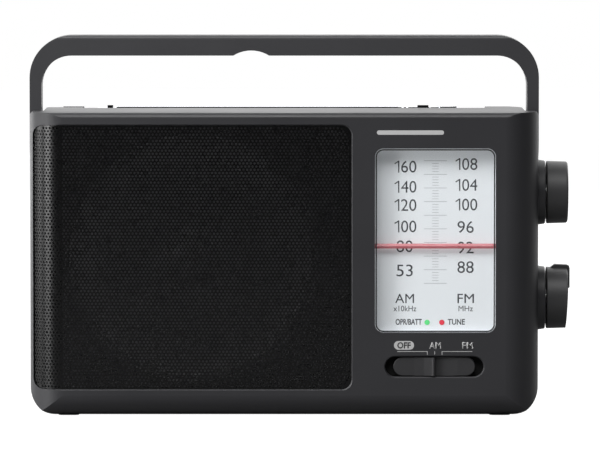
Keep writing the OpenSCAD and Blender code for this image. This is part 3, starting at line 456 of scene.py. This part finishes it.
def rounded_outline(x0, x1, z0, z1, radius, n, start=0):
    """Outline of a rectangle with round corners, n steps to a corner, from the upper right one on."""
    centres = [(x1 - radius, z1 - radius), (x0 + radius, z1 - radius),
               (x0 + radius, z0 + radius), (x1 - radius, z0 + radius)]
    pts = []
    for q in range(start, start + 4):
        cx, cz = centres[q % 4]
        for i in range(n + 1):
            a = math.radians(90 * q + 90 * i / n)
            pts.append((cx + radius * math.cos(a), cz + radius * math.sin(a)))
    return pts


# the border ring is painted shade laid on the lens where the gap round it falls dark
outer = rounded_outline(w_x0, w_x1, w_z0, w_z1, WINDOW_R, 8, -1)
inner = rounded_outline(w_x0 + BORDER_W, w_x1 - BORDER_W, w_z0 + BORDER_W, w_z1 - BORDER_W, BORDER_R,
                        8, -1)
n = len(outer)
rings = [at(x, yy, z) for yy in (LENS_Y - BORDER_T, LENS_Y) for pts in (outer, inner) for x, z in pts]
faces = []
for i in range(n):
    j = (i + 1) % n
    faces += [(i, j, n + j, n + i), (2 * n + i, 3 * n + i, 3 * n + j, 2 * n + j),
              (i, 2 * n + i, 2 * n + j, j), (n + i, n + j, 3 * n + j, 3 * n + i)]
mesh_piece("window_gap_shade", rings, faces, GAP_SHADE_INK)

# blank bar above the dial
TRIM_T = 0.05
outline_slab("trim_bar", stadium(48.9, 110.6, 26.0, 1.7), 0.0, TRIM_T, PRINT_LIGHT)

# ---------- perforated speaker grille ----------

G_LO, G_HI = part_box("speaker_grille")
g_x0, g_x1 = (G_LO.x - CX) / MM, (G_HI.x - CX) / MM
g_z0, g_z1 = G_LO.z / MM, G_HI.z / MM
INSET = (G_LO.y - FY) / MM
EDGE_R = 13.0                       # the case's rounded left edge, which the sheet follows
HALF_W = (rear_hi.x - rear_lo.x) / 2 / MM
ARC_X = -(HALF_W - EDGE_R)
ARC_R = EDGE_R - INSET
CORNER = 4.0
SHEET_T = 0.35
SKIRT = 0.7                         # how deep the sheet's turned-in edge goes
HOLE_R = 0.455
ROWS = 82
FIRST_ROW, FIRST_HOLE = 0.92, 0.95  # from the sheet's edge to the first row and to the first hole
SIDES = 12                          # points round a hole and round its cell
COS30 = math.cos(math.pi / 6)
PITCH_Z = (g_z1 - g_z0 - 2 * FIRST_ROW) / (ROWS - 1)
PITCH_X = PITCH_Z / COS30


def u_of(x):
    """Distance along the sheet's section that belongs to x; x_of is the way back."""
    return x if x >= ARC_X else ARC_X - ARC_R * math.asin(min(1.0, (ARC_X - x) / ARC_R))


def on_sheet(u, z, depth):
    """The point on the bent sheet: u runs along its section, depth goes into the case."""
    if u >= ARC_X:
        return at(u, INSET + depth, z)
    a = (ARC_X - u) / ARC_R
    r = ARC_R - depth
    return at(ARC_X - r * math.sin(a), EDGE_R - r * math.cos(a), z)


def x_of(u):
    return u if u >= ARC_X else ARC_X - ARC_R * math.sin((ARC_X - u) / ARC_R)


def inside(u, z, margin):
    """Whether a point lies on the sheet, at least margin from its rounded outline."""
    x = x_of(u)
    dx = max(g_x0 + CORNER - x, x - (g_x1 - CORNER), 0.0)
    dz = max(g_z0 + CORNER - z, z - (g_z1 - CORNER), 0.0)
    if dx and dz:
        return math.hypot(dx, dz) <= CORNER - margin
    return g_x0 + margin <= x <= g_x1 - margin and g_z0 + margin <= z <= g_z1 - margin


angles = [math.radians(360 / SIDES * k) for k in range(SIDES)]
cell_r = [PITCH_X / 2 / (COS30 if k % 2 else 1) for k in range(SIDES)]
ring = np.array([[r * math.cos(a), r * math.sin(a)] for r, a in zip(cell_r, angles)])
hole = np.array([[HOLE_R * math.cos(a), HOLE_R * math.sin(a)] for a in angles])
CELL_MARGIN = 0.04
u_min = u_of(g_x0)
cells = []
for row in range(ROWS):
    z = g_z1 - FIRST_ROW - row * PITCH_Z
    u = g_x1 - FIRST_HOLE - (PITCH_X / 2 if row % 2 else 0)
    while u > u_min:
        if all(inside(u + du, z + dz, CELL_MARGIN) for du, dz in ring):
            cells.append((u, z))
        u -= PITCH_X
cells = np.array(cells)


def cell_corners(picked):
    """The shared corners of the cells, and which of them each cell uses."""
    corners = (picked[:, None, :] + ring[None]).reshape(-1, 2)
    keys, inverse = np.unique(np.round(corners, 3), axis=0, return_inverse=True)
    return keys, inverse.reshape(-1, SIDES)


def perforated(picked):
    """The sheet of the picked cells, each with its hole and the hole's wall."""
    keys, inverse = cell_corners(picked)
    n_out = len(keys)
    rims = (picked[:, None, :] + hole[None]).reshape(-1, 2)
    n_in = len(rims)
    verts = [on_sheet(u, z, 0) for u, z in keys]
    verts += [on_sheet(u, z, 0) for u, z in rims]
    verts += [on_sheet(u, z, SHEET_T) for u, z in rims]
    faces = []
    for c in range(len(picked)):
        for k in range(SIDES):
            j = (k + 1) % SIDES
            h0, h1 = n_out + c * SIDES + k, n_out + c * SIDES + j
            faces.append((h1, h0, inverse[c, k], inverse[c, j]))
            faces.append((h0, h1, h1 + n_in, h0 + n_in))
    return verts, faces


def plain_border():
    """The unperforated margin between the outermost cells and the sheet's edge, with its turned-in edge."""
    outline = rounded_outline(g_x0, g_x1, g_z0, g_z1, CORNER, 12)
    fine = []
    for i, p in enumerate(outline):
        q = outline[(i + 1) % len(outline)]
        steps = max(1, int(math.dist(p, q) / 1.4))
        fine += [(p[0] + (q[0] - p[0]) * s / steps, p[1] + (q[1] - p[1]) * s / steps) for s in range(steps)]
    loop = [(u_of(x), z) for x, z in fine]
    keys, inverse = cell_corners(cells)
    count = {}
    for c in range(len(cells)):
        for k in range(SIDES):
            e = tuple(sorted((int(inverse[c, k]), int(inverse[c, (k + 1) % SIDES]))))
            count[e] = count.get(e, 0) + 1
    rim = [e for e, n in count.items() if n == 1]
    used = sorted({i for e in rim for i in e})
    index = {v: i + len(loop) for i, v in enumerate(used)}
    pts = [Vector(p) for p in loop] + [Vector(keys[v]) for v in used]
    edges = [(i, (i + 1) % len(loop)) for i in range(len(loop))]
    edges += [(index[a], index[b]) for a, b in rim]
    vs, _, tris, _, _, _ = delaunay_2d_cdt(pts, edges, [list(range(len(loop)))], 1, 1e-5)
    kept = []
    for t in tris:
        u = sum(vs[i].x for i in t) / 3
        z = sum(vs[i].y for i in t) / 3
        d = np.abs(cells - (u, z))
        near = cells[np.argmin((d ** 2).sum(1))]
        du, dz = abs(u - near[0]), abs(z - near[1])
        r = PITCH_X / 2
        if not (du <= r and du * 0.5 + dz * COS30 <= r):
            kept.append(tuple(t))
    verts = [on_sheet(v.x, v.y, 0) for v in vs]
    b = len(verts)
    verts += [on_sheet(u, z, 0) for u, z in loop] + [on_sheet(u, z, SKIRT) for u, z in loop]
    n = len(loop)
    skirt = [(b + i, b + (i + 1) % n, b + n + (i + 1) % n, b + n + i) for i in range(n)]
    return verts, kept + skirt


grille_mat, nt, bsdf, _ = new_material("grille_paint")
bsdf.inputs["Base Color"].default_value = (0.001, 0.001, 0.0012, 1)
bsdf.inputs["Specular IOR Level"].default_value = 0.5
c = object_coords(nt)
nt.links.new(ramp(nt, noise(nt, c, 400, 3), 0.25, 0.31), bsdf.inputs["Roughness"])
bump(nt, bsdf, noise(nt, c, 5000, 2), 0.05, 0.000003)

parts = []
order = np.argsort(cells[:, 0])
for i, chunk in enumerate(np.array_split(order, 3)):
    v, f = perforated(cells[chunk])
    parts.append(mesh_piece("grille_sheet_%d" % (i + 1), v, f, grille_mat))
v, f = plain_border()
parts.append(mesh_piece("grille_border", v, f, grille_mat))
for p in parts:
    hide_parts("speaker_grille")

# the grey cloth behind the holes follows the driver's rim, roll and dust cap
SPX, SPZ = -35.5, 62.0              # the driver's axis
cloth_mat, nt, bsdf, _ = new_material("speaker_cloth")
c = object_coords(nt)
weave = noise(nt, c, 2600, 2)
nt.links.new(colour_mix(nt, weave, (0.17, 0.17, 0.178), (0.2, 0.2, 0.21)), bsdf.inputs["Base Color"])
bsdf.inputs["Roughness"].default_value = 0.7
bump(nt, bsdf, weave, 0.1, 0.00002)
CLOTH_Y = 1.26
CLOTH_LEFT = -86.0
SIDE_GAP, END_GAP = 1.0, 0.6        # from the cloth to the sheet's right edge, and to its top and bottom
# (radius, depth) from the middle of the dust cap out to the rim
profile = [(0.0, 1.45), (3, 1.5), (6, 1.75), (8.5, 2.15), (10.2, 2.75), (10.8, 3.0), (11.6, 2.95), (25, 2.4),
           (40, 1.95), (44.6, 1.85), (45.6, 1.5), (46.6, 1.32), (47.4, 1.5), (47.7, 1.85), (48.2, 1.32),
           (48.9, CLOTH_Y)]
SEG = 96
turns = [(math.cos(2 * math.pi * i / SEG), math.sin(2 * math.pi * i / SEG)) for i in range(SEG)]
verts = [at(SPX, profile[0][1], SPZ)]
for r, y in profile[1:]:
    verts += [at(SPX + r * ca, y, SPZ + r * sa) for ca, sa in turns]


def reach(direction, low, high):
    """How far a ray goes before it meets either bound, given as distances from its start."""
    if abs(direction) <= 1e-6:
        return math.inf
    return (high if direction > 0 else low) / direction


# flat remainder of the cloth out to the sheet's edge
for ca, sa in turns:
    t = min(reach(ca, CLOTH_LEFT - SPX, g_x1 - SIDE_GAP - SPX),
            reach(sa, g_z0 + END_GAP - SPZ, g_z1 - END_GAP - SPZ))
    verts.append(at(SPX + t * ca, CLOTH_Y, SPZ + t * sa))
faces = [(0, 1 + i, 1 + (i + 1) % SEG) for i in range(SEG)]
for k in range(len(profile) - 1):
    b = 1 + k * SEG
    faces += [(b + i, b + SEG + i, b + SEG + (i + 1) % SEG, b + (i + 1) % SEG) for i in range(SEG)]
cloth = mesh_piece("speaker_cloth", verts, faces, cloth_mat, smooth=True)

# ---------- shading of the CAD pieces ----------

SHARP, CASE_SHARP = 24, 50          # degrees above which an edge stays sharp
for name, obj in NODES.items():
    if obj.data.polygons:
        obj.data.polygons.foreach_set("use_smooth", [True] * len(obj.data.polygons))
        limit = CASE_SHARP if name in ("front_case", "rear_case") else SHARP
        obj.data.set_sharp_from_angle(angle=math.radians(limit))

# painted shade: the part of the switch cap that lies under the wall, deep in the slot, takes the near-black
# foam colour to stand for the shade in the slot's ends
CAP_SHADE_Y = 2.9
cap_mesh = NODES["band_switch_cap"].data
cap_mesh.materials.append(FOAM)
cap_world = NODES["band_switch_cap"].matrix_world
for poly in cap_mesh.polygons:
    if (cap_world @ poly.center).y > FY + CAP_SHADE_Y * MM:
        poly.material_index = 1

# ---------- floor, light, camera ----------


def camera_switch(nt, other, seen, out):
    """Gives the camera's own rays one shader and all other rays another."""
    mix = nt.nodes.new("ShaderNodeMixShader")
    path = nt.nodes.new("ShaderNodeLightPath")
    nt.links.new(path.outputs["Is Camera Ray"], mix.inputs["Fac"])
    nt.links.new(other, mix.inputs[1])
    nt.links.new(seen, mix.inputs[2])
    nt.links.new(mix.outputs["Shader"], out.inputs["Surface"])


# the floor is white to the camera and a dim grey to the object
floor_mat, nt, bsdf, out = new_material("floor")
bsdf.inputs["Base Color"].default_value = (0.07, 0.07, 0.07, 1)
bsdf.inputs["Roughness"].default_value = 0.7
bsdf.inputs["Specular IOR Level"].default_value = 0.1
bsdf.inputs["Emission Color"].default_value = (1, 1, 1, 1)
bsdf.inputs["Emission Strength"].default_value = 1.0
dim = nt.nodes.new("ShaderNodeBsdfDiffuse")
dim.inputs["Color"].default_value = (0.2, 0.2, 0.2, 1)
camera_switch(nt, dim.outputs["BSDF"], bsdf.outputs["BSDF"], out)
me = bpy.data.meshes.new("floor")
me.from_pydata([(-3, -0.6, 0), (3, -0.6, 0), (3, 3, 0), (-3, 3, 0)], [], [(0, 1, 2, 3)])
me.materials.append(floor_mat)
floor = bpy.data.objects.new("floor", me)
bpy.context.scene.collection.objects.link(floor)

world = bpy.data.worlds.new("studio")
bpy.context.scene.world = world
world.use_nodes = True
wt = world.node_tree
wt.nodes.clear()
w_out = wt.nodes.new("ShaderNodeOutputWorld")
w_cam = wt.nodes.new("ShaderNodeBackground")
w_cam.inputs["Color"].default_value = (1, 1, 1, 1)
w_cam.inputs["Strength"].default_value = 1.0
w_light = wt.nodes.new("ShaderNodeBackground")
w_light.inputs["Color"].default_value = (0.97, 0.985, 1, 1)
w_light.inputs["Strength"].default_value = 0.02
camera_switch(wt, w_light.outputs["Background"], w_cam.outputs["Background"], w_out)


def softbox(name, loc, target, size, radiance):
    """A rectangular light whose face has the given radiance and which the camera itself doesn't see."""
    light = bpy.data.lights.new(name, "AREA")
    light.shape = "RECTANGLE"
    light.size, light.size_y = size
    light.energy = radiance * math.pi * size[0] * size[1]
    obj = bpy.data.objects.new(name, light)
    obj.location = loc
    obj.rotation_euler = (Vector(target) - Vector(loc)).to_track_quat("-Z", "Y").to_euler()
    obj.visible_camera = False
    bpy.context.scene.collection.objects.link(obj)


# places and sizes in metres; most of them point at the middle of the object
MIDDLE = (0, 0, 0.08)
softbox("key", (-0.25, -0.75, 1.15), MIDDLE, (1.1, 0.7), 7.1)
softbox("left_front", (-0.9, -0.55, 0.3), MIDDLE, (0.4, 0.7), 8.0)
softbox("left", (-1.0, 0.0, 0.25), MIDDLE, (0.4, 0.9), 4.0)
softbox("left_near", (-0.5, -0.3, 0.3), MIDDLE, (0.2, 0.4), 1.5)
softbox("sweep", (0.0, 0.95, 0.78), (0, -0.1, 0.12), (4.2, 1.96), 1.8)
softbox("left_back", (-0.8, 0.7, 0.3), MIDDLE, (0.5, 0.9), 3.0)
softbox("right", (1.0, 0.4, 0.3), MIDDLE, (0.3, 0.9), 0.5)

cam = bpy.data.cameras.new("camera")
cam.sensor_width = 36
cam.lens = 341.4
cam.clip_end = 50
cam_obj = bpy.data.objects.new("camera", cam)
cam_obj.location = (0, FY - CAM_DIST * MM, CAM_Z * MM)
look = Vector((0, FY, LOOK_Z * MM))
cam_obj.rotation_euler = (look - cam_obj.location).to_track_quat("-Z", "Y").to_euler()
bpy.context.scene.collection.objects.link(cam_obj)
bpy.context.scene.camera = cam_obj
bpy.context.scene.view_settings.view_transform = "Standard"
bpy.context.scene.view_settings.look = "None"
